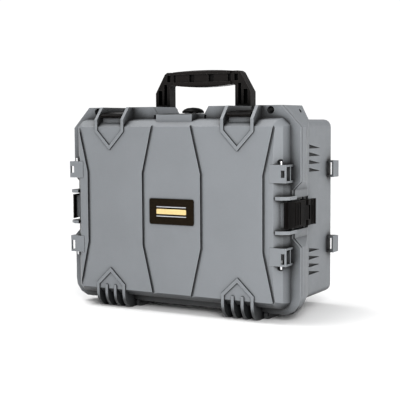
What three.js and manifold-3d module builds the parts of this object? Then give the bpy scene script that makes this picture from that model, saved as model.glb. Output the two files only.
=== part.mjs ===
// Hard-shell carrying case for a drone, standing upright on its hinge side.
// Millimetres, +Z up, +X to the right, +Y from the lid towards the back of the base.
// Inside this file a depth y is measured from the front face of the lid; the group at the end
// moves everything so that the origin is at the middle of the footprint, on the floor.
import * as THREE from "three";
import { ConvexGeometry } from "three/addons/geometries/ConvexGeometry.js";
import { mergeVertices } from "three/addons/utils/BufferGeometryUtils.js";
import Module from "manifold-3d";

const wasm = await Module();
wasm.setup();

// ---- driving dimensions ----
const HEIGHT = 362; // floor to the top of the rim, without the handle
const MID_Z = HEIGHT / 2;
const RIM_HALF = 230; // half width of the rim
const RIM_TOP_HALF = 195; // half width of the rim's flat top, between its corner chamfers
const RIM_CHAMFER_Z = 37;
const RIM_BOTTOM = 10.5; // the rim's underside, above the floor
// the rim narrows beside each side latch, between these distances above and below the middle
const WAIST_FLAT = 40;
const WAIST_END = 55;
const RIM_WAIST_HALF = 216.5;
const WALL = 4.2;

const RIB_PROUD = 2; // raised ribs on the lid's face
const LID_FACE_HALF = 195;
const LID_FACE_LOW = 35;
const LID_FACE_HIGH = 327;
const LID_BEVEL_Y = 12;
const LID_BEVEL_SIDE = 12;
const LID_BEVEL = 10; // along the top and bottom of the face
const LID_WALL_Y = 31;
const LID_BACK = 36.5;
const LID_FLANGE_FRONT = 30.5;
const LID_FLANGE_LOW = 12;
const LID_WAIST_HALF = 215;
const LID_SKIRT_HALF = 212.7; // where the lid's side wall meets the flange
const LID_SKIRT_LOW = 21;
const BOSS_HALF = 36; // the block on top of the lid, in front of the valve
const BOSS_FRONT = 9.8;
const BOSS_TOP = 347.7;

const BASE_FRONT = 38;
const RIM_PLATE_BACK = 52;
const RIM_BACK = 113;
const COLLAR_HALF = 208.4; // half width of the rim at its back
const BODY_HALF = 207;
const BODY_LOW = 24;
const BODY_HIGH = 338;
const BODY_BACK = 222;
const BACK = 224; // the rear lugs reach this depth
const MIDDLE_Y = (BACK - RIB_PROUD) / 2;
const CAVITY_HALF = 199.5;
const CAVITY_LOW = 31.5;
const CAVITY_HIGH = 330.5;
const CAVITY_BACK = 217;

const STATION = 129; // latches on top and hinges below sit this far from the middle
const GUARD_IN = 25.5;
const GUARD_OUT = 31;
const HINGE_Y = 37.25;
const HINGE_Z = 8;
const EYE = 7.5;
const EYE_CLEAR = 9;
const PLATE = 5.2;
const LID_PLATES = [-28, -9.33, 9.33, 28];
const BASE_PLATES = [-37, -18.67, 0, 18.67, 37];
const HINGE_PIN_R = 2.5;
const HINGE_PIN_HALF = 41;

const LATCH_Y = 83; // depth of the pin that the latch lever turns on
const LATCH_TOP_SKIN = 341; // outer skin of the lid below a top latch
const LATCH_SIDE_SKIN = 209.5; // outer skin of the lid below a side latch
const LATCH_PIN_UP = 2; // height of that pin over the skin
const LATCH_HALF = 22;
const RECESS_HALF = 27;
const RECESS_DEPTH = 5;
const CLAW_PIN = [-2, 7]; // from the lever's pin: depth, height
const PIN_R = 2;
const HOLE_R = 2.35;
const TONGUE_HALF = 11.5;
const CHEEK_IN = 12.5;

const LUG_RISE = 68.3; // lugs sit this far above and below the middle
const LUG_HALF = 14.8;
const LUG_ROOT = 205;
const LUG_X = 218;
const LUG_THICK = 3.2;
const LUG_FACE = -0.6; // depth of the face of a lid lug
const LUG_PLATE_IN = 188.5;
const LUG_WEB_Y = 16;
const LUG_SLOT = [209, 215.6, 6]; // from x, to x, and half its height
const BASE_LUG_X = 219.5;
const BASE_LUG_FRONT = 199;
const LUG_PIN_R = 2;
const LUG_PEG = [206.5, 6.2]; // x and depth of the pegs in the lid's lugs
const LUG_PEG_PROUD = 6;
const LUG_PIN_BASE = [212, 217.6]; // x and depth of the pins in the base's lugs
const PADLOCK_X = 176;
const PADLOCK_Z = 354;
const PADLOCK_R = 6.6;

const HANDLE_Y = 119;
const HANDLE_PIVOT_Z = 352;
const HANDLE_HALF_Y = 10;
const HANDLE_OUT = 99;
const HANDLE_IN = 68;
const HANDLE_CROWN_HALF = 74;
const HANDLE_SHOULDER_Z = 388;
const HANDLE_TOP = 428.5;
const HANDLE_UNDER = 397.5;
const GRIP_HALF = 60;
const GRIP_HALF_Y = 12.5;
const GRIP_CORE = [404, 421, 7]; // low, high and half depth of the bar inside the grip
const GRIP_CLEAR = 0.4;
const HANDLE_PIN_R = 3;

const VALVE_Y = 77;
const VALVE_FLOOR = 348;
const VALVE_KNOB_R = 20;
// the channel that the valve sits in: half widths at the rim's top and at the lid's low edge
const CHANNEL_TOP_HALF = 57.5;
const CHANNEL_HALF = 50;
const CHANNEL_LIP = 349.5;
const DIP_SLOT = [48.9, 53.4, 339, 347.4]; // beside the dip: from x, to x, low and high

const CORNER_STEPS = 4;
const TINY = 0.01;

// ---- materials ----
const finish = (color, roughness, metalness = 0) =>
  new THREE.MeshStandardMaterial({ color, roughness, metalness });
const GREY = finish(0x858a8f, 0.55);
const BLACK = finish(0x17171a, 0.4);
const STEEL = finish(0xb8babd, 0.3, 1);
const RUBBER = finish(0x121214, 0.8);
const FOAM = finish(0x26272a, 0.95);
const PLATE_BROWN = finish(0x1a160c, 0.35);

// ---- solids ----
function solid(geometry) {
  const bare = geometry.clone();
  bare.deleteAttribute("normal");
  bare.deleteAttribute("uv");
  const merged = mergeVertices(bare, 1e-4);
  return new wasm.Manifold(
    new wasm.Mesh({
      numProp: 3,
      vertProperties: new Float32Array(merged.attributes.position.array),
      triVerts: new Uint32Array(merged.index.array),
    }),
  );
}

const join = (first, ...rest) => rest.reduce((a, b) => a.add(b), first);
const cut = (first, ...rest) => rest.reduce((a, b) => a.subtract(b), first);

function geometryOf(made) {
  const mesh = made.getMesh();
  const geometry = new THREE.BufferGeometry();
  const points = new THREE.BufferAttribute(new Float32Array(mesh.vertProperties), 3);
  geometry.setAttribute("position", points);
  geometry.setIndex(new THREE.BufferAttribute(new Uint32Array(mesh.triVerts), 1));
  geometry.computeVertexNormals();
  return geometry;
}

const box = (x0, x1, y0, y1, z0, z1) =>
  solid(
    new THREE.BoxGeometry(x1 - x0, y1 - y0, z1 - z0).translate(
      (x0 + x1) / 2,
      (y0 + y1) / 2,
      (z0 + z1) / 2,
    ),
  );

// An outline in (x, z) extruded from depth y0 to y1.
function alongY(outline, y0, y1) {
  const geometry = new THREE.ExtrudeGeometry(outline, {
    depth: y1 - y0,
    bevelEnabled: false,
    curveSegments: CORNER_STEPS,
  });
  geometry.rotateX(Math.PI / 2).translate(0, y1, 0);
  return solid(geometry);
}

// An outline in (y, z) extruded from x0 to x1.
function alongX(outline, x0, x1) {
  const geometry = new THREE.ExtrudeGeometry(outline, {
    depth: x1 - x0,
    bevelEnabled: false,
    curveSegments: CORNER_STEPS,
  });
  geometry.rotateY(Math.PI / 2).rotateX(Math.PI / 2).translate(x0, 0, 0);
  return solid(geometry);
}

const polygon = (points) => new THREE.Shape(points.map(([a, b]) => new THREE.Vector2(a, b)));

function rod(radius, length, axis, x, y, z, sides = 12) {
  const geometry = new THREE.CylinderGeometry(radius, radius, length, sides);
  if (axis === "x") geometry.rotateZ(Math.PI / 2);
  if (axis === "z") geometry.rotateX(Math.PI / 2);
  return solid(geometry.translate(x, y, z));
}

// The convex solid round outlines given at two depths.
function loft(outlineA, yA, outlineB, yB) {
  const lay = (outline, y) => outline.map(([x, z]) => new THREE.Vector3(x, y, z));
  return solid(new ConvexGeometry([...lay(outlineA, yA), ...lay(outlineB, yB)]));
}

function roundedOutline(half, low, high, radius) {
  const points = [];
  const corners = [
    [half - radius, high - radius, 0],
    [-half + radius, high - radius, 1],
    [-half + radius, low + radius, 2],
    [half - radius, low + radius, 3],
  ];
  for (const [x, z, turn] of corners)
    for (let i = 0; i <= CORNER_STEPS; i++) {
      const angle = (turn + i / CORNER_STEPS) * (Math.PI / 2);
      points.push([x + radius * Math.cos(angle), z + radius * Math.sin(angle)]);
    }
  return points;
}

// An outline with cut corners, as x and z half sizes of the cut.
function cutOutline(half, low, high, cornerX, cornerZ) {
  const flat = half - cornerX;
  return [
    [half, low + cornerZ],
    [half, high - cornerZ],
    [flat, high],
    [-flat, high],
    [-half, high - cornerZ],
    [-half, low + cornerZ],
    [-flat, low],
    [flat, low],
  ];
}

const ring = (half, low, high, radius, thick) => {
  const outline = polygon(roundedOutline(half, low, high, radius));
  const inner = roundedOutline(half - thick, low + thick, high - thick, radius - thick);
  outline.holes.push(new THREE.Path(inner.map(([x, z]) => new THREE.Vector2(x, z))));
  return outline;
};

const bothSides = [-1, 1];

// ---- the lid ----
// A raised outline on the lid's face: two legs that meet in a point.
function arrowRib(x, legEnd, shoulder, tip) {
  const slope = Math.sign(tip - shoulder);
  const inset = (GUARD_OUT - GUARD_IN) * Math.SQRT2;
  const outline = polygon([
    [x - GUARD_OUT, legEnd],
    [x - GUARD_OUT, shoulder],
    [x, tip],
    [x + GUARD_OUT, shoulder],
    [x + GUARD_OUT, legEnd],
    [x + GUARD_IN, legEnd],
    [x + GUARD_IN, shoulder - slope * 2],
    [x, tip - slope * inset],
    [x - GUARD_IN, shoulder - slope * 2],
    [x - GUARD_IN, legEnd],
  ]);
  return alongY(outline, -RIB_PROUD, 1);
}

// Grooves in the lid's face: a narrow slit with a shallow ramp on its right.
const GROOVE_LOW = 118;
const GROOVE_HIGH = 246;
const SLIT_HALF = 1.9;
const SLIT_DEPTH = 3;
const RAMP = 8.5;
const RAMP_DEPTH = 2.5;
const GROOVES = [
  [-199, -177],
  [-36.5, -59],
  [36.5, 59],
  [199, 177],
];
function groove([endX, waistX]) {
  const path = [
    [endX, LID_FACE_LOW - 12],
    [waistX, GROOVE_LOW],
    [waistX, GROOVE_HIGH],
    [endX, LID_FACE_HIGH + 12],
  ];
  const left = path.map(([x, z]) => [x - SLIT_HALF, z]);
  const right = path.map(([x, z]) => [x + SLIT_HALF, z]).reverse();
  const slitSolid = alongY(polygon([...left, ...right]), -1, SLIT_DEPTH);
  const ramps = path.slice(1).map(([x, z], i) => {
    const [x0, z0] = path[i];
    const section = (px, pz) => [
      new THREE.Vector3(px, -1, pz),
      new THREE.Vector3(px, RAMP_DEPTH, pz),
      new THREE.Vector3(px + RAMP, 0, pz),
      new THREE.Vector3(px + RAMP, -1, pz),
    ];
    return solid(new ConvexGeometry([...section(x0, z0), ...section(x, z)]));
  });
  return join(slitSolid, ...ramps);
}

// The lid flange: chamfered corner ears, a waist at each side and a dip for the valve.
function lidFlange() {
  const side = [
    [LID_WAIST_HALF, MID_Z - WAIST_FLAT],
    [LID_WAIST_HALF, MID_Z + WAIST_FLAT],
    [RIM_HALF, MID_Z + WAIST_END],
    [RIM_HALF, HEIGHT - RIM_CHAMFER_Z],
    [RIM_TOP_HALF, HEIGHT],
    [CHANNEL_TOP_HALF, HEIGHT],
    [CHANNEL_HALF, CHANNEL_LIP],
  ];
  const low = [
    [205, LID_FLANGE_LOW],
    [219, 19],
    [228, 31],
    [RIM_HALF, 43],
    [RIM_HALF, MID_Z - WAIST_END],
  ];
  const rightHalf = [...low, ...side];
  const leftHalf = rightHalf.map(([x, z]) => [-x, z]).reverse();
  return alongY(polygon([...rightHalf, ...leftHalf]), LID_FLANGE_FRONT, LID_BACK);
}

// Runs from a to b whichever way round they are.
const span = (a, b) => [Math.min(a, b), Math.max(a, b)];

// Two flanges that stand out from a side wall, above and below the middle of a lug.
function lugFlanges(side, z, x, y0, y1) {
  const across = span(side * LUG_ROOT, side * x);
  return bothSides.map((s) => {
    const height = span(z + s * LUG_HALF, z + s * (LUG_HALF - LUG_THICK));
    return box(...across, y0, y1, ...height);
  });
}

// A lid lug: a slotted face plate in front of the flanges and a web behind it.
function lidLug(side, z, level) {
  const [slotIn, slotOut, slotHalf] = LUG_SLOT;
  const high = z + LUG_HALF - TINY;
  const low = z - LUG_HALF + TINY;
  const faceBack = LUG_FACE + LUG_THICK;
  const plate = box(...span(side * LUG_PLATE_IN, side * LUG_X), LUG_FACE, faceBack, low, high);
  const webX = span(side * LUG_ROOT, side * LUG_X);
  const web = box(...webX, LUG_WEB_Y, LUG_WEB_Y + LUG_THICK, low, high);
  // the lower lug's slot runs down to its flange
  const slotLow = level < 0 ? z - LUG_HALF + LUG_THICK : z - slotHalf;
  const slotX = span(side * slotIn, side * slotOut);
  const slot = box(...slotX, LUG_FACE - 1, faceBack + 1, slotLow, z + slotHalf);
  return cut(join(plate, web, ...lugFlanges(side, z, LUG_X, LUG_FACE, LID_BACK)), slot);
}

// A base lug: an outer plate on two flanges, open in front and behind for a strap.
function baseLug(side, z) {
  const plateX = span(side * BASE_LUG_X, side * (BASE_LUG_X - LUG_THICK));
  const plate = box(...plateX, BASE_LUG_FRONT, BACK, z - LUG_HALF + TINY, z + LUG_HALF - TINY);
  return join(plate, ...lugFlanges(side, z, BASE_LUG_X, BASE_LUG_FRONT, BACK));
}

// The curved foot that carries the lid's part of the hinge.
function footPlate(x) {
  const outline = new THREE.Shape();
  outline.moveTo(-RIB_PROUD, 42);
  outline.lineTo(-RIB_PROUD, 26);
  outline.bezierCurveTo(-RIB_PROUD, 12, 10, 0, 22, 0);
  outline.lineTo(HINGE_Y - 1, 0.5);
  outline.absarc(HINGE_Y, HINGE_Z, EYE, -Math.PI / 2, Math.PI / 2, false);
  outline.lineTo(28, 24);
  outline.lineTo(4, 40);
  return alongX(outline, x - PLATE / 2, x + PLATE / 2);
}

function lidGuard(side, skin, front, outer) {
  const outline = polygon([
    [-RIB_PROUD, skin - 10],
    [-RIB_PROUD, skin - 1],
    [front, outer],
    [LID_BACK, outer],
    [LID_BACK, skin - 6],
    [LID_BEVEL_Y, skin - 8],
  ]);
  const low = Math.min(side * GUARD_IN, side * GUARD_OUT);
  return alongX(outline, low, low + GUARD_OUT - GUARD_IN);
}

// Turns a solid built for the top (x across, z out) so that "out" is to the given side.
const toSide = (made, side) => made.rotate([0, side * 90, 0]);

function lidShell() {
  const face = cutOutline(LID_FACE_HALF, LID_FACE_LOW, LID_FACE_HIGH, 3, 3);
  const shoulderHalf = LID_FACE_HALF + LID_BEVEL_SIDE;
  const [shoulderLow, shoulderHigh] = [LID_FACE_LOW - LID_BEVEL, LID_FACE_HIGH + LID_BEVEL];
  const shoulder = cutOutline(shoulderHalf, shoulderLow, shoulderHigh, 10, 10);
  const skirt = cutOutline(LID_SKIRT_HALF, LID_SKIRT_LOW, LATCH_TOP_SKIN, 13, 12);
  const inFace = roundedOutline(190.5, 39.5, 322.5, 8);
  const inBack = roundedOutline(201.5, 30.5, 331.5, 10);
  let shell = join(loft(face, 0, shoulder, LID_BEVEL_Y), loft(shoulder, LID_BEVEL_Y, skirt, LID_WALL_Y));
  const bossLow = LID_FACE_HIGH - 2;
  const boss = box(-BOSS_HALF, BOSS_HALF, BOSS_FRONT, LID_FLANGE_FRONT + 1, bossLow, BOSS_TOP);
  shell = join(shell, lidFlange(), boss);
  shell = cut(shell, ...GROOVES.map(groove));

  for (const side of bothSides) {
    const x = side * STATION;
    // room for the top latch's claw and for the base's hinge eyes
    shell = cut(shell, box(x - GUARD_OUT, x + GUARD_OUT, 20, 40, LATCH_TOP_SKIN, HEIGHT + 1));
    shell = cut(shell, rod(EYE_CLEAR, 84, "x", x, HINGE_Y, HINGE_Z, 16));
    shell = join(shell, arrowRib(x, 337, 318.4, 285.8), arrowRib(x, 38, 43.9, 73.2));
    for (const s of bothSides)
      shell = join(shell, lidGuard(s, LATCH_TOP_SKIN, 17, HEIGHT).translate([x, 0, 0]));
    shell = join(shell, ...LID_PLATES.map((offset) => footPlate(x + offset)));
    shell = cut(shell, rod(HINGE_PIN_R + 0.3, 84, "x", x, HINGE_Y, HINGE_Z));
    // catch lip below the claw's nose
    shell = join(shell, box(x - 20, x + 20, 9, 14, LATCH_TOP_SKIN - 12, LATCH_TOP_SKIN + 1.6));
    // padlock hole, and a slot beside the dip for the valve
    shell = cut(shell, rod(PADLOCK_R, 20, "y", side * PADLOCK_X, LID_BACK, PADLOCK_Z, 20));
    const [slotIn, slotOut, slotLow, slotHigh] = DIP_SLOT;
    const slotX = span(side * slotIn, side * slotOut);
    shell = cut(shell, box(...slotX, LID_FLANGE_FRONT - 2.5, LID_BACK + 1, slotLow, slotHigh));

    // side latch guards on a flat skin, a catch lip and the two lugs
    const sideSkin = span(side * LATCH_SIDE_SKIN, side * LID_WAIST_HALF);
    const latchLow = MID_Z - GUARD_OUT;
    shell = cut(shell, box(...sideSkin, LID_BEVEL_Y, LID_FLANGE_FRONT, latchLow, MID_Z + GUARD_OUT));
    const guards = bothSides.map((s) => lidGuard(s, LATCH_SIDE_SKIN, 8, 221));
    const lip = box(-20, 20, 9, 14, LATCH_SIDE_SKIN - 10, LATCH_SIDE_SKIN + 1.6);
    shell = join(
      shell,
      ...[...guards, lip].map((piece) => toSide(piece, side).translate([0, 0, MID_Z])),
    );
    for (const s of bothSides) {
      const z = MID_Z + s * LUG_RISE;
      const [pegX, pegY] = LUG_PEG;
      shell = join(shell, lidLug(side, z, s));
      // a round notch in the bevel beside the peg's end, and the peg's hole
      shell = cut(shell, rod(4.6, 13, "y", side * (pegX - 2), 5.5, z + s * (LUG_HALF + 4.6)));
      shell = cut(shell, rod(LUG_PIN_R + 0.35, LUG_HALF, "z", side * pegX, pegY, z + s * LUG_HALF));
    }
  }
  const cavity = loft(inFace, WALL, inBack, LID_BACK + TINY);
  const sealGroove = ring(207.35, 24.65, 337.35, 14.35, 4.2);
  return cut(shell, cavity, alongY(sealGroove, 34, LID_BACK + 1));
}

function nameplate() {
  const [half, low, high, radius] = [44.7, 157, 201.7, 3];
  const front = polygon(roundedOutline(half, low, high, radius));
  return alongY(front, -1.2, -0.3);
}

const lidSeal = () => alongY(ring(207, 25, 337, 14, 3.5), 34.3, 37.4);
const lidFoam = () => loft(roundedOutline(188, 42, 320, 8), 4.6, roundedOutline(194, 37, 325, 8), 33);

// ---- the base ----
// One wedge-shaped gill beside the rim: flat below, deep at the rim and running out backwards.
const GILL_RISES = [70, 83.4, 96.8, 110.2];
const GILL_HALF = 3.7;
const GILL_FRONT = 119;
const GILL_BACK = 164;
const GILL_DEPTH = 5.8;
const GILL_END_DEPTH = 1.6;
function gill(side, z) {
  const out = BODY_HALF + 1;
  const low = z - GILL_HALF;
  const points = [
    [out, GILL_FRONT, low],
    [out, GILL_FRONT, z + GILL_HALF],
    [BODY_HALF - GILL_DEPTH, GILL_FRONT, low],
    [BODY_HALF - GILL_DEPTH, GILL_FRONT, z + GILL_HALF],
    [out, GILL_BACK, low],
    [out, GILL_BACK, low + 0.7],
    [BODY_HALF - GILL_END_DEPTH, GILL_BACK, low],
    [BODY_HALF - GILL_END_DEPTH, GILL_BACK, low + 0.7],
  ];
  return solid(new ConvexGeometry(points.map(([x, y, zz]) => new THREE.Vector3(side * x, y, zz))));
}

// Hollows between the rim's stiffening ribs, open to the back.
const RIM_SKIN = 4;
const POCKET_FRONT = 56;
function rimPockets() {
  const pockets = [];
  const row = (spans, low, high) =>
    spans.forEach(([a, b]) =>
      bothSides.forEach((side) => {
        const [x0, x1] = side > 0 ? [a, b] : [-b, -a];
        pockets.push(box(x0, x1, POCKET_FRONT, RIM_BACK + 1, low, high));
      }),
    );
  row([[163, 190]], BODY_HIGH + 1, HEIGHT - RIM_SKIN);
  row([[3, 38], [43, 84], [174, 192]], RIM_BOTTOM + RIM_SKIN, BODY_LOW - 1);
  return pockets;
}

function hingePlate(x) {
  const outline = new THREE.Shape();
  outline.moveTo(HINGE_Y, HINGE_Z + EYE);
  outline.absarc(HINGE_Y, HINGE_Z, EYE, Math.PI / 2, (Math.PI * 3) / 2, false);
  outline.lineTo(HINGE_Y + 3, 0);
  outline.lineTo(158, 0);
  outline.lineTo(178, BODY_LOW + 1);
  outline.lineTo(60, BODY_LOW + 4);
  return alongX(outline, x - PLATE / 2, x + PLATE / 2);
}

function handleMount(side) {
  const outline = new THREE.Shape();
  const radius = 9.5;
  outline.moveTo(HANDLE_Y - 11, BODY_HIGH - 3);
  outline.lineTo(HANDLE_Y - radius, HANDLE_PIVOT_Z);
  outline.absarc(HANDLE_Y, HANDLE_PIVOT_Z, radius, Math.PI, 0, true);
  outline.lineTo(HANDLE_Y + 14, BODY_HIGH - 3);
  const cheek = 5;
  const gap = 0.8;
  const starts = [HANDLE_IN - gap - cheek, HANDLE_OUT + gap];
  return starts.map((start) => {
    const low = side > 0 ? start : -start - cheek;
    return alongX(outline, low, low + cheek);
  });
}

function latchRecess() {
  const floor = -RECESS_DEPTH;
  const recess = box(-RECESS_HALF, RECESS_HALF, BASE_FRONT - 1, RIM_BACK + 1, floor, 40);
  const pinHole = rod(HOLE_R, 2 * GUARD_OUT + 1, "x", 0, LATCH_Y, LATCH_PIN_UP);
  return join(recess, pinHole);
}

// The rim: a plate with chamfered corners in front, and behind it a tapering collar.
function baseRim() {
  const half = [
    [203, RIM_BOTTOM],
    [213, 13],
    [221, 20],
    [227.5, 32],
    [RIM_HALF, 46],
    [RIM_HALF, HEIGHT - RIM_CHAMFER_Z],
    [RIM_TOP_HALF, HEIGHT],
  ];
  const front = [...half, ...half.map(([x, z]) => [-x, z])];
  const rearHalf = [
    [192, RIM_BOTTOM],
    [200, 17],
    [COLLAR_HALF, 34],
    [COLLAR_HALF, HEIGHT - 24],
    [COLLAR_HALF - 12.4, HEIGHT],
  ];
  const rear = [...rearHalf, ...rearHalf.map(([x, z]) => [-x, z])];
  const plate = loft(front, BASE_FRONT, front, RIM_PLATE_BACK);
  const collar = loft(front, RIM_PLATE_BACK, rear, RIM_BACK);
  let rim = join(plate, collar);
  for (const side of bothSides) {
    // the collar's upper corners are cut along the slope of its rear end
    const corner = [
      [195.5, HEIGHT + 1],
      [232, 292],
      [232, HEIGHT + 1],
    ];
    rim = cut(rim, alongY(polygon(corner.map(([x, z]) => [side * x, z])), RIM_PLATE_BACK, RIM_BACK + 1));
    const waist = [
      [RIM_WAIST_HALF, MID_Z - WAIST_FLAT],
      [240, MID_Z - WAIST_END - 10],
      [240, MID_Z + WAIST_END + 10],
      [RIM_WAIST_HALF, MID_Z + WAIST_FLAT],
    ];
    rim = cut(rim, alongY(polygon(waist.map(([x, z]) => [side * x, z])), BASE_FRONT - 1, RIM_BACK + 1));
  }
  return rim;
}

// The channel through the rim for the valve, with slanted sides.
function valveChannel() {
  const slope = (CHANNEL_TOP_HALF - CHANNEL_HALF) / (HEIGHT - CHANNEL_LIP);
  const high = HEIGHT + 2;
  const wide = CHANNEL_TOP_HALF + 2 * slope;
  const narrow = CHANNEL_HALF - slope * (CHANNEL_LIP - VALVE_FLOOR);
  const section = [
    [-wide, high],
    [-narrow, VALVE_FLOOR],
    [narrow, VALVE_FLOOR],
    [wide, high],
  ];
  return alongY(polygon(section), BASE_FRONT - 1, RIM_BACK + 1);
}

function baseShell() {
  const body = roundedOutline(BODY_HALF, BODY_LOW, BODY_HIGH, 14);
  const backEdge = roundedOutline(BODY_HALF - 5, BODY_LOW + 5, BODY_HIGH - 5, 12);
  let shell = cut(baseRim(), ...rimPockets(), valveChannel());
  shell = join(shell, loft(body, RIM_BACK - 4, body, BODY_BACK - 5));
  shell = join(shell, loft(body, BODY_BACK - 5, backEdge, BODY_BACK));
  shell = cut(shell, rod(12.5, 40, "z", 0, VALVE_Y, VALVE_FLOOR, 24));

  for (const side of bothSides) {
    const x = side * STATION;
    const handleLow = Math.min(side * 60, side * 106);
    shell = cut(shell, box(handleLow, handleLow + 46, 106, RIM_BACK + 1, 341, HEIGHT + 1));
    shell = join(shell, ...handleMount(side));
    const pinX = side * ((HANDLE_IN + HANDLE_OUT) / 2);
    shell = cut(shell, rod(HANDLE_PIN_R + 0.3, 60, "x", pinX, HANDLE_Y, HANDLE_PIVOT_Z));
    shell = cut(shell, latchRecess().translate([x, 0, LATCH_TOP_SKIN]));
    const sideRecess = toSide(latchRecess().translate([0, 0, LATCH_SIDE_SKIN]), side);
    shell = cut(shell, sideRecess.translate([0, 0, MID_Z]));
    shell = cut(shell, rod(EYE_CLEAR, 84, "x", x, HINGE_Y, HINGE_Z, 16));
    shell = join(shell, ...BASE_PLATES.map((offset) => hingePlate(x + offset)));
    shell = cut(shell, rod(HINGE_PIN_R + 0.3, 90, "x", x, HINGE_Y, HINGE_Z));
    shell = cut(shell, rod(PADLOCK_R, 40, "y", side * PADLOCK_X, 50, PADLOCK_Z, 20));
    const eyelet = rod(3.6, 8, "x", 0, 0, 0).rotate([0, -27, 0]).translate([201, 95, 352.6]);
    shell = cut(shell, side > 0 ? eyelet : eyelet.mirror([1, 0, 0]));
    for (const s of bothSides) {
      const z = MID_Z + s * LUG_RISE;
      const [lugPinX, lugPinY] = LUG_PIN_BASE;
      shell = join(shell, baseLug(side, z));
      shell = cut(shell, rod(LUG_PIN_R + 0.35, 40, "z", side * lugPinX, lugPinY, z));
      for (const rise of GILL_RISES) shell = cut(shell, gill(side, MID_Z + s * rise));
    }
  }
  const cavity = roundedOutline(CAVITY_HALF, CAVITY_LOW, CAVITY_HIGH, 12);
  return cut(shell, loft(cavity, BASE_FRONT - 1, cavity, CAVITY_BACK));
}

// Foam block with pockets for the aircraft, its controller and three batteries.
function baseFoam() {
  const front = 52;
  const back = 204;
  const block = roundedOutline(CAVITY_HALF - 0.7, CAVITY_LOW + 0.7, CAVITY_HIGH - 0.7, 11);
  const floor = 150;
  const pocket = (x0, x1, z0, z1, radius, depth = floor) => {
    const outline = roundedOutline((x1 - x0) / 2, z0, z1, radius);
    return loft(outline, front - 1, outline, depth).translate([(x0 + x1) / 2, 0, 0]);
  };
  const craft = [-60, 190];
  const arms = bothSides.flatMap((sx) =>
    bothSides.map((sz) => {
      const reach = [craft[0] + sx * 84, craft[1] + sz * 84];
      const width = 15;
      const arm = [craft, reach].flatMap(([x, z]) => [
        [x - width, z + sx * sz * width],
        [x + width, z - sx * sz * width],
      ]);
      const motor = rod(24, floor - front + 1, "y", reach[0], (front - 1 + floor) / 2, reach[1], 20);
      return join(loft(arm, front - 1, arm, floor), motor);
    }),
  );
  const batteries = [60, 104, 148].map((x) => pocket(x, x + 36, 48, 116, 5, 120));
  return cut(
    loft(block, front, block, back),
    join(pocket(-105, -15, 130, 250, 14), ...arms),
    pocket(104, 182, 138, 300, 8, 130),
    ...batteries,
  );
}

function baseFloorPad() {
  const outline = roundedOutline(CAVITY_HALF - 0.9, CAVITY_LOW + 0.9, CAVITY_HIGH - 0.9, 11);
  return loft(outline, 204.6, outline, CAVITY_BACK - 0.6);
}

// ---- latches, built for the top: origin on the lever's pin, x across, y in depth, z out ----
const [CLAW_Y, CLAW_Z] = CLAW_PIN;

function latchClaw() {
  const front = 4 - LATCH_Y;
  const plate = polygon([
    [front, 0.9],
    [front, 3.5],
    [front + 4, 7],
    [front + 22, 10],
    [CLAW_Y - 8, 10],
    [CLAW_Y - 8, 5],
    [front + 24, 5],
    [front + 9, 3.4],
    [front + 4.5, 0.9],
  ]);
  const tongue = new THREE.Shape();
  tongue.moveTo(CLAW_Y - 14, 5.2);
  tongue.lineTo(CLAW_Y, CLAW_Z - 4.3);
  tongue.absarc(CLAW_Y, CLAW_Z, 4.3, -Math.PI / 2, Math.PI / 2, false);
  tongue.lineTo(CLAW_Y - 14, 9.8);
  // three raised bars across the claw
  const bars = [0, 1, 2].map((i) => {
    const y = front + 26 + i * 9;
    return alongX(
      polygon([
        [y, 9.5],
        [y + 1.2, 11.2],
        [y + 3.8, 11.2],
        [y + 5, 9.5],
      ]),
      -LATCH_HALF + 3,
      LATCH_HALF - 3,
    );
  });
  const body = join(
    alongX(plate, -LATCH_HALF, LATCH_HALF),
    alongX(tongue, -TONGUE_HALF, TONGUE_HALF),
    ...bars,
  );
  return cut(body, rod(HOLE_R, 60, "x", 0, CLAW_Y, CLAW_Z));
}

function latchLever() {
  const cheek = new THREE.Shape();
  cheek.moveTo(0, -5);
  cheek.absarc(0, 0, 5, -Math.PI / 2, 0, false);
  cheek.lineTo(17, 5);
  cheek.lineTo(17, 10);
  cheek.lineTo(CLAW_Y, CLAW_Z + 4.3);
  cheek.absarc(CLAW_Y, CLAW_Z, 4.3, Math.PI / 2, Math.PI, false);
  cheek.lineTo(-5, 0);
  cheek.absarc(0, 0, 5, Math.PI, (Math.PI * 3) / 2, false);
  const plate = polygon([
    [6, 5],
    [6, 10.6],
    [14.5, 10.2],
    [15.5, 11.8],
    [16.5, 10.2],
    [21, 10.2],
    [25.5, 12.3],
    [28, 12],
    [27.5, 8.5],
    [23.5, 5],
  ]);
  const cheeks = bothSides.map((side) => {
    const low = side > 0 ? CHEEK_IN : -LATCH_HALF;
    return alongX(cheek, low, low + LATCH_HALF - CHEEK_IN);
  });
  const body = join(alongX(plate, -LATCH_HALF, LATCH_HALF), ...cheeks);
  const hollow = box(-CHEEK_IN + 4, CHEEK_IN - 4, 12, 21, 4, 7);
  return cut(
    body,
    hollow,
    rod(HOLE_R, 60, "x", 0, 0, 0),
    rod(HOLE_R, 60, "x", 0, CLAW_Y, CLAW_Z),
  );
}

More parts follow.
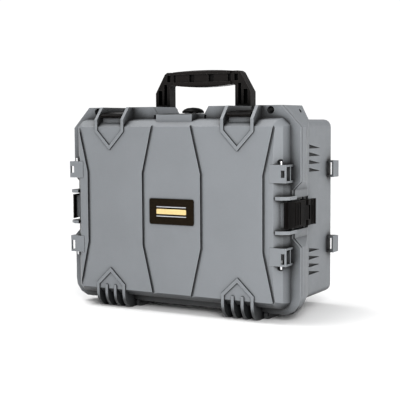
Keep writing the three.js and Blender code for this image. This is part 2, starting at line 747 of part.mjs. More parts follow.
// ---- the handle ----
// Hollows in both faces: from x, to x, bottom, top, and the floor's distance from the middle.
const HANDLE_HOLLOWS = [
  [73.9, 80.7, 366, 404, 2.5],
  [84.7, 93.1, 366, 393, 2.5],
  [66.5, 74, 408, 420.5, 5],
];
function handleFrame() {
  const low = HANDLE_PIVOT_Z;
  const outline = polygon([
    [-HANDLE_OUT, low],
    [-HANDLE_OUT, HANDLE_SHOULDER_Z],
    [-HANDLE_CROWN_HALF - 5, HANDLE_TOP - 6],
    [-HANDLE_CROWN_HALF, HANDLE_TOP - 2.8],
    [HANDLE_CROWN_HALF, HANDLE_TOP - 2.8],
    [HANDLE_CROWN_HALF + 5, HANDLE_TOP - 6],
    [HANDLE_OUT, HANDLE_SHOULDER_Z],
    [HANDLE_OUT, low],
    [HANDLE_IN, low],
    [HANDLE_IN, HANDLE_UNDER + 2.2],
    [HANDLE_IN - 2.5, HANDLE_UNDER + 4.7],
    [2.5 - HANDLE_IN, HANDLE_UNDER + 4.7],
    [-HANDLE_IN, HANDLE_UNDER + 2.2],
    [-HANDLE_IN, low],
  ]);
  let frame = alongY(outline, HANDLE_Y - HANDLE_HALF_Y, HANDLE_Y + HANDLE_HALF_Y);
  const around = box(-GRIP_HALF, GRIP_HALF, HANDLE_Y - 20, HANDLE_Y + 20, 390, 440);
  const [coreLow, coreHigh, coreHalf] = GRIP_CORE;
  const coreX = GRIP_HALF + 1;
  const bar = box(-coreX, coreX, HANDLE_Y - coreHalf, HANDLE_Y + coreHalf, coreLow, coreHigh);
  frame = join(cut(frame, around), bar);
  for (const side of bothSides) {
    const x = side * ((HANDLE_IN + HANDLE_OUT) / 2);
    frame = join(frame, rod(HANDLE_HALF_Y - 1, HANDLE_OUT - HANDLE_IN, "x", x, HANDLE_Y, low, 24));
    for (const face of bothSides)
      for (const [inner, outer, bottom, top, floor] of HANDLE_HOLLOWS) {
        const depths = span(HANDLE_Y + face * floor, HANDLE_Y + face * (HANDLE_HALF_Y + 1));
        frame = cut(frame, box(...span(side * inner, side * outer), ...depths, bottom, top));
      }
    frame = cut(frame, rod(HANDLE_PIN_R + 0.3, 60, "x", x, HANDLE_Y, low));
  }
  return frame;
}

// The grip sleeve: bowed above and below, with a recessed band of three finger pads on each face.
function handleGrip() {
  const half = GRIP_HALF - GRIP_CLEAR;
  const section = new THREE.Shape();
  const round = 5;
  const flat = GRIP_HALF_Y - round;
  const [low, high] = [HANDLE_UNDER, HANDLE_TOP];
  section.moveTo(HANDLE_Y - flat, low);
  section.lineTo(HANDLE_Y + flat, low);
  section.absarc(HANDLE_Y + flat, low + round, round, -Math.PI / 2, 0, false);
  section.absarc(HANDLE_Y + flat, high - round, round, 0, Math.PI / 2, false);
  section.absarc(HANDLE_Y - flat, high - round, round, Math.PI / 2, Math.PI, false);
  section.absarc(HANDLE_Y - flat, low + round, round, Math.PI, (Math.PI * 3) / 2, false);
  const bow = [-1, -0.67, -0.33, 0, 0.33, 0.67, 1];
  const under = bow.map((t) => [t * GRIP_HALF, low + 4 * t ** 2]);
  const above = bow.map((t) => [t * GRIP_HALF, high - 2.5 * t ** 2]).reverse();
  const depths = [HANDLE_Y - GRIP_HALF_Y - 1, HANDLE_Y + GRIP_HALF_Y + 1];
  const grip = alongX(section, -half, half).intersect(alongY(polygon([...under, ...above]), ...depths));
  const [coreLow, coreHigh, coreHalf] = GRIP_CORE;
  const boreY = coreHalf + GRIP_CLEAR;
  const [boreLow, boreHigh] = [coreLow - GRIP_CLEAR, coreHigh + GRIP_CLEAR];
  const bore = box(-half - 1, half + 1, HANDLE_Y - boreY, HANDLE_Y + boreY, boreLow, boreHigh);
  const [bandLow, bandHigh] = [407, 421];
  const band = (x0, x1, face, deep) =>
    box(
      x0,
      x1,
      ...span(HANDLE_Y + face * (GRIP_HALF_Y - deep), HANDLE_Y + face * (GRIP_HALF_Y + 1)),
      bandLow,
      bandHigh,
    );
  const slots = bothSides.flatMap((face) => [
    band(-half - 1, half + 1, face, 1.2),
    band(-25.5, -14.5, face, 4.4),
    band(14.5, 25.5, face, 4.4),
    band(-half - 1, -54, face, 4.4),
    band(54, half + 1, face, 4.4),
  ]);
  return cut(grip, bore, ...slots);
}

// ---- the pressure valve ----
function valveBody() {
  const profile = [
    [0, 337],
    [11.9, 337],
    [11.9, 348.4],
    [16, 348.4],
    [16, 350.2],
    [0, 350.2],
  ];
  const geometry = new THREE.LatheGeometry(
    profile.map(([r, z]) => new THREE.Vector2(r, z)),
    24,
  );
  return solid(geometry.rotateX(Math.PI / 2).translate(0, VALVE_Y, 0));
}

function valveKnob() {
  const profile = [
    [0, 350.6],
    [VALVE_KNOB_R - 1, 350.6],
    [VALVE_KNOB_R, 351.6],
    [VALVE_KNOB_R - 0.6, 354],
    [VALVE_KNOB_R - 4, 357.2],
    [VALVE_KNOB_R - 10, 359.6],
    [0, 360.6],
  ];
  const geometry = new THREE.LatheGeometry(
    profile.map(([r, z]) => new THREE.Vector2(r, z)),
    32,
  );
  const knob = solid(geometry.rotateX(Math.PI / 2).translate(0, VALVE_Y, 0));
  const flutes = Array.from({ length: 12 }, (_, i) => {
    const angle = (i / 12) * 2 * Math.PI;
    const r = VALVE_KNOB_R + 1.2;
    return rod(2.4, 20, "z", r * Math.cos(angle), VALVE_Y + r * Math.sin(angle), 354, 8);
  });
  return cut(knob, ...flutes);
}

// ---- assembly ----
const carryingCase = new THREE.Group();
carryingCase.position.y = -MIDDLE_Y;

function add(name, made, material, parent = carryingCase) {
  const mesh = new THREE.Mesh(geometryOf(made), material);
  mesh.name = name;
  parent.add(mesh);
  return mesh;
}

add("base_shell", baseShell(), GREY);
add("base_foam", baseFoam(), FOAM);
add("base_floor_pad", baseFloorPad(), FOAM);
add("lid_shell", lidShell(), GREY);
add("nameplate", nameplate(), PLATE_BROWN);
add("lid_seal", lidSeal(), RUBBER);
add("lid_foam", lidFoam(), FOAM);
add("handle_frame", handleFrame(), BLACK);
add("handle_grip", handleGrip(), RUBBER);
add("valve_body", valveBody(), BLACK);
add("valve_knob", valveKnob(), BLACK);

for (const side of bothSides) {
  const where = side < 0 ? "left" : "right";
  const pinX = side * ((HANDLE_IN + HANDLE_OUT) / 2);
  const handlePin = rod(HANDLE_PIN_R, 42, "x", pinX, HANDLE_Y, HANDLE_PIVOT_Z);
  add("handle_pin_" + where, handlePin, STEEL);
  const hingePin = rod(HINGE_PIN_R, 2 * HINGE_PIN_HALF, "x", side * STATION, HINGE_Y, HINGE_Z);
  add("hinge_pin_" + where, hingePin, STEEL);
  for (const s of bothSides) {
    const level = s > 0 ? "upper" : "lower";
    const z = MID_Z + s * LUG_RISE;
    const [pegX, pegY] = LUG_PEG;
    // from inside the lug to its proud end
    const reach = [LUG_HALF - (s > 0 ? LUG_THICK + 1 : 9.5), LUG_HALF + LUG_PEG_PROUD];
    const middle = z + (s * (reach[0] + reach[1])) / 2;
    const peg = rod(LUG_PIN_R, reach[1] - reach[0], "z", side * pegX, pegY, middle);
    add(["lug_pin_lid", where, level].join("_"), peg, STEEL);
    const [lugPinX, lugPinY] = LUG_PIN_BASE;
    const pin = rod(LUG_PIN_R, 2 * LUG_HALF, "z", side * lugPinX, lugPinY, z);
    add(["lug_pin_base", where, level].join("_"), pin, STEEL);
  }
}

const LATCHES = [
  { name: "top_left", x: -STATION, z: LATCH_TOP_SKIN, turn: 0 },
  { name: "top_right", x: STATION, z: LATCH_TOP_SKIN, turn: 0 },
  { name: "side_left", x: -LATCH_SIDE_SKIN, z: MID_Z, turn: -1 },
  { name: "side_right", x: LATCH_SIDE_SKIN, z: MID_Z, turn: 1 },
];
for (const { name, x, z, turn } of LATCHES) {
  const latch = new THREE.Group();
  const up = turn === 0 ? LATCH_PIN_UP : 0;
  latch.position.set(x + turn * LATCH_PIN_UP, LATCH_Y, z + up);
  latch.rotation.y = (turn * Math.PI) / 2;
  carryingCase.add(latch);
  add("latch_lever_" + name, latchLever(), BLACK, latch);
  add("latch_claw_" + name, latchClaw(), BLACK, latch);
  add("latch_pin_" + name, rod(PIN_R, 2 * GUARD_OUT, "x", 0, 0, 0, 12), STEEL, latch);
  add("claw_pin_" + name, rod(PIN_R, 2 * LATCH_HALF, "x", 0, CLAW_Y, CLAW_Z, 12), STEEL, latch);
}

export default carryingCase;
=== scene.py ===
"""Looks for the drone carrying case: materials, rounded edges, foam and studio light."""
import math

import bmesh
import bpy
from mathutils import Matrix, Vector


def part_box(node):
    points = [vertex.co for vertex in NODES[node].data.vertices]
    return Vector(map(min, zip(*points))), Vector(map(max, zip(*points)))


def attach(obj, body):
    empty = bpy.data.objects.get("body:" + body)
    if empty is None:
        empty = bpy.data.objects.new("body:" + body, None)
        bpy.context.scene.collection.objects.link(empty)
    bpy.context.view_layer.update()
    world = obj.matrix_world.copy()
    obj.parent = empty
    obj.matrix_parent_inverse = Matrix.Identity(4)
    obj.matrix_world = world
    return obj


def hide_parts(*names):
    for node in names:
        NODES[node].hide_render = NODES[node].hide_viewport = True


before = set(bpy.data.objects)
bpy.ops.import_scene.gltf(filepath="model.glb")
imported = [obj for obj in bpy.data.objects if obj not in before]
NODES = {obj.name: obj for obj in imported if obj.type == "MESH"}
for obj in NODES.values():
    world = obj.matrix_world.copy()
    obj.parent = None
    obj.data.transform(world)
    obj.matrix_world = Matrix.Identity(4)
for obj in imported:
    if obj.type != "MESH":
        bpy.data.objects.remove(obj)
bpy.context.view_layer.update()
MM = 0.001
WHITE = (1, 1, 1, 1)

# ---------------------------------------------------------------- camera
CAMERA_PLACE = (0.8754, -1.5362, 0.3328)  # in metres
CAMERA_TURN = math.radians(29.86)  # to the left of straight into the scene
CAMERA_DOWN = math.radians(4.55)
CAMERA_ROLL = math.radians(-0.35)
CAMERA_LENS = 87.04  # in mm, on a sensor 36 mm wide


def make_camera():
    data = bpy.data.cameras.new("camera")
    data.lens = CAMERA_LENS
    data.sensor_width = 36
    data.clip_start = 0.05
    data.clip_end = 50
    cam = bpy.data.objects.new("camera", data)
    bpy.context.scene.collection.objects.link(cam)
    forward = Vector(
        (
            -math.sin(CAMERA_TURN) * math.cos(CAMERA_DOWN),
            math.cos(CAMERA_TURN) * math.cos(CAMERA_DOWN),
            -math.sin(CAMERA_DOWN),
        )
    )
    level = Vector((math.cos(CAMERA_TURN), math.sin(CAMERA_TURN), 0))
    upright = level.cross(forward)
    right = level * math.cos(CAMERA_ROLL) + upright * math.sin(CAMERA_ROLL)
    up = upright * math.cos(CAMERA_ROLL) - level * math.sin(CAMERA_ROLL)
    turn = Matrix((right, up, -forward)).transposed()
    cam.matrix_world = Matrix.Translation(CAMERA_PLACE) @ turn.to_4x4()
    bpy.context.scene.camera = cam


make_camera()


# ---------------------------------------------------------------- materials
def scaled(color, factor, lift=0.0):
    """The colour made brighter or darker, and never above full white."""
    return [min(1, c * factor + lift) for c in color]


class Shader:
    """A Principled material with a few shorthands for its nodes."""

    def __init__(self, name, color, rough, metal=0.0):
        self.material = bpy.data.materials.new(name)
        self.material.use_nodes = True
        self.material.diffuse_color = (*color, 1)
        self.tree = self.material.node_tree
        self.bsdf = self.tree.nodes["Principled BSDF"]
        self.bsdf.inputs["Base Color"].default_value = (*color, 1)
        self.bsdf.inputs["Roughness"].default_value = rough
        self.bsdf.inputs["Metallic"].default_value = metal
        self.place = self.tree.nodes.new("ShaderNodeTexCoord").outputs["Object"]

    def node(self, kind, **inputs):
        made = self.tree.nodes.new(kind)
        for key, value in inputs.items():
            socket = made.inputs[key.replace("_", " ")]
            if isinstance(value, bpy.types.NodeSocket):
                self.tree.links.new(value, socket)
            else:
                socket.default_value = value
        return made

    def link(self, a, b):
        self.tree.links.new(a, b)

    def noise(self, scale, detail=4.0, rough=0.55):
        made = self.node("ShaderNodeTexNoise", Scale=scale, Detail=detail, Roughness=rough)
        self.link(self.place, made.inputs["Vector"])
        return made.outputs["Fac"]

    def tones(self, value, low, high, dark, light):
        """Colours the surface from dark to light as value goes from low to high."""
        self.link(self.mix(self.spread(value, low, high), dark, light), self.bsdf.inputs["Base Color"])

    def spread(self, value, low, high, to_low=0.0, to_high=1.0):
        """Maps low..high to to_low..to_high, clamped at both ends."""
        made = self.node("ShaderNodeMapRange", Value=value)
        numbers = {"From Min": low, "From Max": high, "To Min": to_low, "To Max": to_high}
        for key, number in numbers.items():
            made.inputs[key].default_value = number
        return made.outputs["Result"]

    def math(self, how, a, b):
        made = self.tree.nodes.new("ShaderNodeMath")
        made.operation = how
        for socket, value in zip(made.inputs, (a, b)):
            if isinstance(value, bpy.types.NodeSocket):
                self.link(value, socket)
            else:
                socket.default_value = value
        return made.outputs[0]

    def mix(self, factor, a, b):
        """Colour a where factor is 0, b where it is 1."""
        made = self.tree.nodes.new("ShaderNodeMix")
        made.data_type = "RGBA"
        for index, value in ((0, factor), (6, a), (7, b)):
            if isinstance(value, bpy.types.NodeSocket):
                self.link(value, made.inputs[index])
            else:
                made.inputs[index].default_value = (*value, 1)
        return made.outputs[2]

    def bump(self, height, distance, strength=1.0, after=None):
        made = self.node("ShaderNodeBump", Height=height, Strength=strength, Distance=distance)
        if after is not None:
            self.link(after, made.inputs["Normal"])
        self.link(made.outputs["Normal"], self.bsdf.inputs["Normal"])
        return made.outputs["Normal"]

    def crevice(self, reach, open_at, shut_at):
        """1 deep in corners and slots, 0 on open faces: the mask for painted shade."""
        made = self.node("ShaderNodeAmbientOcclusion", Distance=reach)
        made.samples = 8
        return self.spread(made.outputs["AO"], shut_at, open_at, 1.0, 0.0)

    def underside(self, low, high, below, above, most):
        """Rises on faces near the floor that look down: the mask for painted shade under the case."""
        facing = self.tree.nodes.new("ShaderNodeSeparateXYZ")
        self.link(self.tree.nodes.new("ShaderNodeTexCoord").outputs["Normal"], facing.inputs[0])
        height = self.tree.nodes.new("ShaderNodeSeparateXYZ")
        self.link(self.place, height.inputs[0])
        near = self.spread(height.outputs["Z"], below, above, most, 0.0)
        return self.math("MULTIPLY", self.spread(facing.outputs["Z"], -low, -high), near)

    def rubbed_and_highlight_edges(self, radius, low=0.35, high=0.75):
        """Rises to high along edges, 0 on flat faces: the mask for rubbed edges that also carry a painted
        highlight.
        """
        soft = self.tree.nodes.new("ShaderNodeBevel")
        soft.samples = 6
        soft.inputs["Radius"].default_value = radius
        geometry = self.tree.nodes.new("ShaderNodeNewGeometry")
        dot = self.tree.nodes.new("ShaderNodeVectorMath")
        dot.operation = "DOT_PRODUCT"
        self.link(soft.outputs["Normal"], dot.inputs[0])
        self.link(geometry.outputs["Normal"], dot.inputs[1])
        return self.spread(dot.outputs["Value"], 1.0, low, 0.0, high)


def grained_plastic(name, color, rough, grain, edge_wear_and_highlight, edge_wear_and_highlight_amount, gloss, painted_shade):
    """Moulded plastic: pebbled spark texture, faint flow marks, rubbed edges lightened further as a
    painted highlight, painted shade in its corners and painted shade on faces that look down near the
    floor.
    """
    s = Shader(name, color, rough)
    s.bsdf.inputs["Specular IOR Level"].default_value = gloss
    pebble = s.noise(1500.0, 3.0, 0.5)
    fine = s.noise(4200.0, 2.0, 0.5)
    cloud = s.noise(9.0, 5.0, 0.6)
    scuff = s.noise(60.0, 6.0, 0.7)
    tone = s.mix(s.spread(cloud, 0.3, 0.7), scaled(color, 0.94), scaled(color, 1.05))
    speck = s.mix(s.spread(pebble, 0.35, 0.7, 0, 0.22), tone, scaled(color, 1.25, 0.004))
    # rubbed edges, lightened both as wear and as a painted highlight
    rubbed_and_highlight_edge = s.math("MULTIPLY", s.rubbed_and_highlight_edges(0.0013), s.spread(scuff, 0.38, 0.62, 0.15, edge_wear_and_highlight_amount))
    wear_and_painted_light = s.mix(rubbed_and_highlight_edge, speck, edge_wear_and_highlight)
    # painted shade: the colour goes near black in corners, slots and gaps, close in and farther out
    dark = scaled(color, 0.03)
    wear_and_painted_light = s.mix(s.math("MULTIPLY", s.crevice(0.010, 0.87, 0.50), 0.97 * painted_shade), wear_and_painted_light, dark)
    wear_and_painted_light = s.mix(s.math("MULTIPLY", s.crevice(0.034, 0.95, 0.60), 0.94 * painted_shade), wear_and_painted_light, dark)
    # painted shade on faces that look down near the floor
    wear_and_painted_light = s.mix(s.underside(0.15, 0.75, 0.045, 0.075, 0.8), wear_and_painted_light, scaled(color, 0.20))
    s.link(wear_and_painted_light, s.bsdf.inputs["Base Color"])
    s.link(s.spread(scuff, 0.3, 0.75, rough - 0.06, rough + 0.07), s.bsdf.inputs["Roughness"])
    first = s.bump(pebble, 0.00022 * grain, 0.55)
    s.bump(fine, 0.00008 * grain, 0.4, after=first)
    return s.material


def seal_rubber():
    s = Shader("seal_rubber", (0.008, 0.008, 0.009), 0.7)
    s.tones(s.noise(220.0), 0.35, 0.65, (0.006, 0.006, 0.007), (0.013, 0.013, 0.014))
    s.bump(s.noise(2600.0), 0.0001, 0.5)
    return s.material


def steel(name, low, high):
    """Drawn rod with fine marks along it."""
    s = Shader(name, high, 0.28, 1.0)
    drawn = s.noise(900.0, 3.0)
    s.tones(drawn, 0.3, 0.7, low, high)
    s.link(s.spread(drawn, 0.2, 0.8, 0.2, 0.42), s.bsdf.inputs["Roughness"])
    s.bump(drawn, 0.00003, 0.5)
    return s.material


def foam(name, color):
    """Open-cell foam: small cells, a soft cloudy tone and a faint sheen."""
    s = Shader(name, color, 0.95)
    cells = s.node("ShaderNodeTexVoronoi", Scale=900.0)
    s.link(s.place, cells.inputs["Vector"])
    soft = s.noise(40.0, 5.0)
    mottle = s.math("ADD", cells.outputs["Distance"], s.math("MULTIPLY", soft, 0.5))
    s.tones(mottle, 0.25, 0.9, scaled(color, 0.55), scaled(color, 1.5))
    s.bsdf.inputs["Sheen Weight"].default_value = 0.25
    s.bsdf.inputs["Sheen Roughness"].default_value = 0.6
    first = s.bump(cells.outputs["Distance"], 0.0006, 0.8)
    s.bump(soft, 0.002, 0.25, after=first)
    return s.material


def plate_material():
    """Dark varnished label with fine streaks."""
    s = Shader("label_plate", (0.0066, 0.0036, 0.0012), 0.32)
    s.bsdf.inputs["Specular IOR Level"].default_value = 0.06
    streak = s.noise(300.0, 4.0)
    s.tones(streak, 0.3, 0.7, (0.0050, 0.0028, 0.0008), (0.0096, 0.0060, 0.0020))
    s.link(s.spread(streak, 0.2, 0.8, 0.26, 0.40), s.bsdf.inputs["Roughness"])
    s.bump(streak, 0.00004, 0.4)
    return s.material


def foil(name, color):
    """Half-metallic printed foil."""
    s = Shader(name, color, 0.3, 0.6)
    grain = s.noise(700.0, 3.0)
    s.tones(grain, 0.3, 0.7, scaled(color, 0.85), scaled(color, 1.1))
    s.bump(grain, 0.00003, 0.4)
    return s.material


# name, colour, roughness, grain, colour of rubbed edges with their painted highlight, how strongly the
# edges are lightened, gloss, strength of painted corner shade
GREY = grained_plastic(
    "shell_grey_plastic", (0.157, 0.167, 0.178), 0.5, 1.0, (0.62, 0.64, 0.66), 1.0, 0.4, 1.0
)
BLACK = grained_plastic(
    "black_plastic", (0.0018, 0.0013, 0.0012), 0.34, 0.7, (0.17, 0.16, 0.15), 0.9, 0.02, 0.8
)
HANDLE = grained_plastic(
    "handle_plastic", (0.0105, 0.0094, 0.0089), 0.42, 0.9, (0.20, 0.19, 0.18), 0.9, 0.06, 1.0
)
KNOB = grained_plastic(
    "valve_plastic", (0.0020, 0.0019, 0.0019), 0.4, 0.6, (0.03, 0.03, 0.03), 0.5, 0.04, 0.8
)
GRIP = grained_plastic(
    "grip_rubber", (0.0100, 0.0086, 0.0080), 0.36, 1.4, (0.20, 0.19, 0.18), 1.0, 0.07, 0.9
)
SEAL = seal_rubber()
STEEL = steel("bright_steel", (0.56, 0.56, 0.57), (0.78, 0.78, 0.79))
DARK_STEEL = steel("blackened_steel", (0.018, 0.018, 0.019), (0.040, 0.040, 0.042))
BASE_FOAM = foam("base_foam_material", (0.020, 0.020, 0.022))
LID_FOAM = foam("lid_foam_material", (0.026, 0.026, 0.029))
PLATE = plate_material()
GOLD = foil("gold_foil", (0.80, 0.60, 0.27))
PALE = foil("pale_foil", (0.62, 0.64, 0.68))


# ---------------------------------------------------------------- CAD nodes
def paint(node, material):
    slots = NODES[node].data.materials
    slots.clear()
    slots.append(material)


FLAT = math.radians(1)  # faces closer than this are one flat face
ROUNDED = math.radians(28)  # edges sharper than this are rounded
CREASED = math.radians(36)  # edges still sharper than this stay crisp
WELD_GAP = 0.02 * MM


def soften(node, width):
    """Rounds a CAD node's sharp edges and shades it smoothly, with modifiers only."""
    obj = NODES[node]
    weld = obj.modifiers.new("weld", "WELD")
    weld.merge_threshold = WELD_GAP
    flat = obj.modifiers.new("flat", "DECIMATE")
    flat.decimate_type = "DISSOLVE"
    flat.angle_limit = FLAT
    round_off = obj.modifiers.new("round", "BEVEL")
    round_off.width = width
    round_off.segments = 2
    round_off.limit_method = "ANGLE"
    round_off.angle_limit = ROUNDED
    round_off.use_clamp_overlap = True
    round_off.harden_normals = True
    crease = obj.modifiers.new("crease", "EDGE_SPLIT")
    crease.split_angle = CREASED
    crease.use_edge_sharp = False
    smooth = obj.modifiers.new("smooth", "WEIGHTED_NORMAL")
    smooth.keep_sharp = True
    for polygon in obj.data.polygons:
        polygon.use_smooth = True


# node, material, and how far its edges are rounded, in mm
FINISHES = [
    ("base_shell", GREY, 0.9),
    ("lid_shell", GREY, 0.8),
    ("handle_frame", HANDLE, 1.0),
    ("handle_grip", GRIP, 0.9),
    ("valve_body", BLACK, 0.3),
    ("valve_knob", KNOB, 0.4),
    ("lid_seal", SEAL, 0.6),
    ("nameplate", PLATE, 0.25),
    ("base_foam", BASE_FOAM, 1.2),
    ("base_floor_pad", BASE_FOAM, 1.2),
    ("lid_foam", LID_FOAM, 1.2),
]
for name in NODES:
    if name.startswith(("latch_lever", "latch_claw")):
        FINISHES.append((name, BLACK, 0.5))
    elif name.startswith("lug_pin_lid"):
        FINISHES.append((name, STEEL, 0.5))
    elif "pin" in name:
        FINISHES.append((name, DARK_STEEL, 0.25))
for name, material, width in FINISHES:
    paint(name, material)
    soften(name, width * MM)


# ---------------------------------------------------------------- pieces made here
def new_object(name, mesh, material, body):
    """A smooth piece that rides on a body, in the given material."""
    obj = bpy.data.objects.new(name, mesh)
    bpy.context.scene.collection.objects.link(obj)
    mesh.materials.clear()
    mesh.materials.append(material)
    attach(obj, body)
    for polygon in mesh.polygons:
        polygon.use_smooth = True
    return obj


def applied(obj):
    """The object's mesh with its modifiers worked in."""
    bpy.context.view_layer.update()
    graph = bpy.context.evaluated_depsgraph_get()
    return bpy.data.meshes.new_from_object(obj.evaluated_get(graph))


FOAM_VOXEL = 3.6 * MM
FOAM_CLEAR = 0.2  # mm that a foam face stays inside its CAD solid, at the least


def foam_block(name, node, soften_steps, swell):
    """A foam piece in the space of its CAD solid: rounded edges and a surface uneven by swell mm."""
    mesh = NODES[node].data.copy()
    work = bpy.data.objects.new(name + "_work", mesh)
    bpy.context.scene.collection.objects.link(work)
    remesh = work.modifiers.new("remesh", "REMESH")
    remesh.mode = "VOXEL"
    remesh.voxel_size = FOAM_VOXEL
    smooth = work.modifiers.new("smooth", "SMOOTH")
    smooth.factor = 0.5
    smooth.iterations = soften_steps
    mesh = applied(work)
    bpy.data.objects.remove(work)
    form = bmesh.new()
    form.from_mesh(mesh)
    form.normal_update()
    for vertex in form.verts:
        x, y, z = vertex.co * 1000
        uneven = math.sin(x * 0.11 + z * 0.07) * math.sin(z * 0.13 - y * 0.09) * swell
        vertex.co += vertex.normal * (uneven - swell - FOAM_CLEAR) * MM
    form.to_mesh(mesh)
    form.free()
    obj = new_object(name, mesh, BASE_FOAM, "base")
    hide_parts(node)


def egg_crate_foam():
    """The lid's foam: a slab whose inner face rises in rows of soft points."""
    low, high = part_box("lid_foam")
    step = 2.6 * MM
    pitch = 30 * MM
    inset = 1.2 * MM
    x0, x1 = low[0] + inset, high[0] - inset
    z0, z1 = low[2] + inset, high[2] - inset
    front = low[1] + 0.6 * MM
    crest = high[1] - 1.0 * MM
    trough = crest - 15 * MM
    middle_z = (z0 + z1) / 2
    half_x, half_z = (x1 - x0) / 2, (z1 - z0) / 2
    columns, rows = round((x1 - x0) / step), round((z1 - z0) / step)
    corner = 14 * MM
    edge_drop = 5 * MM
    narrow_x, narrow_z = 0.972, 0.967  # the slab narrows towards the lid's face, as the shell does

    def rounded(u, v):
        """Pulls the grid's corners in to the pad's rounded outline."""
        x, z = u * half_x, v * half_z
        over_x, over_z = abs(x) - (half_x - corner), abs(z) - (half_z - corner)
        if over_x > 0 and over_z > 0:
            reach = math.hypot(over_x, over_z)
            limit = max(over_x, over_z)
            x = math.copysign(half_x - corner + over_x * limit / reach, x)
            z = math.copysign(half_z - corner + over_z * limit / reach, z)
        return x, z

    form = bmesh.new()
    inner, outer = [], []
    for j in range(rows + 1):
        inner.append([])
        outer.append([])
        for i in range(columns + 1):
            u, v = 2 * i / columns - 1, 2 * j / rows - 1
            x, z = rounded(u, v)
            wave = math.cos(2 * math.pi * x / pitch) * math.cos(2 * math.pi * z / pitch)
            y = trough + (crest - trough) * (0.5 + 0.5 * wave) ** 0.8
            border = min(half_x * (1 - abs(u)), half_z * (1 - abs(v))) / edge_drop
            if border < 1:
                y -= (1 - math.sqrt(max(0, 1 - (1 - border) ** 2))) * edge_drop
            inner[-1].append(form.verts.new((x, y, middle_z + z)))
            outer[-1].append(form.verts.new((x * narrow_x, front, middle_z + z * narrow_z)))
    for j in range(rows):
        for i in range(columns):
            form.faces.new((inner[j][i], inner[j + 1][i], inner[j + 1][i + 1], inner[j][i + 1]))
            form.faces.new((outer[j][i], outer[j][i + 1], outer[j + 1][i + 1], outer[j + 1][i]))
    ring = [(0, i) for i in range(columns)] + [(j, columns) for j in range(rows)]
    ring += [(rows, i) for i in range(columns, 0, -1)] + [(j, 0) for j in range(rows, 0, -1)]
    for (j, i), (jj, ii) in zip(ring, ring[1:] + ring[:1]):
        form.faces.new((inner[j][i], inner[jj][ii], outer[jj][ii], outer[j][i]))
    bmesh.ops.recalc_face_normals(form, faces=form.faces)
    mesh = bpy.data.meshes.new("lid_egg_crate_foam")
    form.to_mesh(mesh)
    form.free()
    obj = new_object("lid_egg_crate_foam", mesh, LID_FOAM, "lid")
    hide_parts("lid_foam")


STRIPE_HALF = 30  # mm, half the length of each stripe


def raised_bar(name, material, z0, z1, radius, proud):
    """A thin bar with rounded corners and eased edges on the name plate, in mm from its middle."""
    low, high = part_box("nameplate")
    middle, centre = (low[0] + high[0]) / 2, (low[2] + high[2]) / 2
    x0, x1 = -STRIPE_HALF, STRIPE_HALF
    steps = 5
    sunk, eased = 0.05, 0.12
    corners = [(x1 - radius, z1 - radius, 0), (x0 + radius, z1 - radius, 1)]
    corners += [(x0 + radius, z0 + radius, 2), (x1 - radius, z0 + radius, 3)]
    outline = []
    for x, z, turn in corners:
        for i in range(steps + 1):
            angle = (turn + i / steps) * math.pi / 2
            outline.append((x + radius * math.cos(angle), z + radius * math.sin(angle)))
    form = bmesh.new()
    levels = []
    for shrink, y in ((0, sunk), (0, -proud * 0.6), (eased, -proud)):
        loop = []
        for x, z in outline:
            cx, cz = (x0 + x1) / 2, (z0 + z1) / 2
            px = x - math.copysign(min(shrink, abs(x - cx)), x - cx)
            pz = z - math.copysign(min(shrink, abs(z - cz)), z - cz)
            loop.append(form.verts.new((middle + px * MM, low[1] + y * MM, centre + pz * MM)))
        levels.append(loop)
    count = len(outline)
    for below, above in zip(levels, levels[1:]):
        for i in range(count):
            k = (i + 1) % count
            form.faces.new((below[i], below[k], above[k], above[i]))
    form.faces.new(levels[-1])
    form.faces.new(list(reversed(levels[0])))
    bmesh.ops.recalc_face_normals(form, faces=form.faces)
    mesh = bpy.data.meshes.new(name)
    form.to_mesh(mesh)
    form.free()
    new_object(name, mesh, material, "lid")
    for polygon in mesh.polygons:
        polygon.use_smooth = False


foam_block("base_foam_cut_out", "base_foam", 4, 0.25)
foam_block("base_floor_pad_soft", "base_floor_pad", 3, 0.2)
egg_crate_foam()
# plain stripes in place of any name: a gold one between two thin pale ones
raised_bar("plate_gold_stripe", GOLD, -4.4, 4.4, 1.5, 0.25)
raised_bar("plate_pale_stripe_upper", PALE, 7.6, 8.8, 0.4, 0.2)
raised_bar("plate_pale_stripe_lower", PALE, -8.8, -7.6, 0.4, 0.2)


# ---------------------------------------------------------------- studio
HORIZON = 1.05  # brightness of the sky round the horizon
OVERHEAD = 0.50  # and overhead


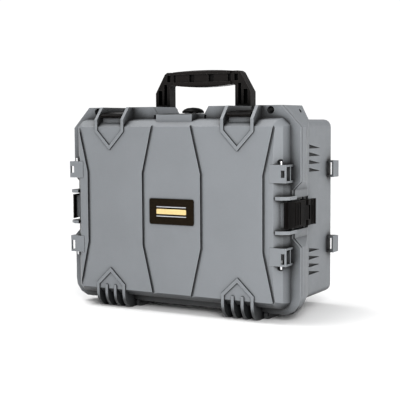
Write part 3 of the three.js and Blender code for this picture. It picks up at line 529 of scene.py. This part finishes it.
def make_floor():
    size = 12.0
    mesh = bpy.data.meshes.new("floor")
    corners = [(-size, -size, 0), (size, -size, 0), (size, size, 0), (-size, size, 0)]
    mesh.from_pydata(corners, [], [(0, 1, 2, 3)])
    obj = bpy.data.objects.new("floor", mesh)
    bpy.context.scene.collection.objects.link(obj)
    s = Shader("studio_floor", (0.93, 0.93, 0.93), 0.75)
    soft = s.noise(3.0, 2.0)
    s.tones(soft, 0.3, 0.7, (0.92, 0.92, 0.92), (0.94, 0.94, 0.94))
    mesh.materials.append(s.material)


def make_sun(name, turn, rise, strength, spread):
    """A soft far light from turn degrees right of the front and rise degrees up."""
    data = bpy.data.lights.new(name, "SUN")
    data.energy = strength
    data.angle = math.radians(spread)
    light = bpy.data.objects.new(name, data)
    side, up = math.radians(turn), math.radians(rise)
    place = Vector((math.sin(side) * math.cos(up), -math.cos(side) * math.cos(up), math.sin(up)))
    light.rotation_mode = "QUATERNION"
    light.rotation_quaternion = place.to_track_quat("Z", "Y")
    light.location = place * 3
    bpy.context.scene.collection.objects.link(light)


def make_panel(name, place, aim, size, power):
    """A square soft box at place, in metres, turned towards aim."""
    data = bpy.data.lights.new(name, "AREA")
    data.energy = power
    data.size = size
    light = bpy.data.objects.new(name, data)
    toward = Vector(aim) - Vector(place)
    light.rotation_mode = "QUATERNION"
    light.rotation_quaternion = toward.to_track_quat("-Z", "Y")
    light.location = place
    bpy.context.scene.collection.objects.link(light)


def make_world():
    """White round the horizon, dimmer overhead."""
    world = bpy.data.worlds.new("studio")
    world.use_nodes = True
    tree = world.node_tree
    sky = tree.nodes["Background"]
    split = tree.nodes.new("ShaderNodeSeparateXYZ")
    tree.links.new(tree.nodes.new("ShaderNodeTexCoord").outputs["Generated"], split.inputs[0])
    level = tree.nodes.new("ShaderNodeMapRange")
    tree.links.new(split.outputs["Z"], level.inputs["Value"])
    steps = {"From Min": 0.16, "From Max": 0.36, "To Min": HORIZON, "To Max": OVERHEAD}
    for key, value in steps.items():
        level.inputs[key].default_value = value
    tree.links.new(level.outputs["Result"], sky.inputs["Strength"])
    sky.inputs["Color"].default_value = WHITE
    bpy.context.scene.world = world


def make_studio():
    scene = bpy.context.scene
    scene.view_settings.view_transform = "Standard"
    scene.view_settings.look = "None"
    make_world()
    make_sun("key", -80, 68, 1.95, 36)
    make_panel("front", (0.92, -1.15, 0.75), (0, -0.1, 0.2), 0.7, 18)
    make_sun("fill", 62, 48, 0.25, 70)


make_floor()
make_studio()
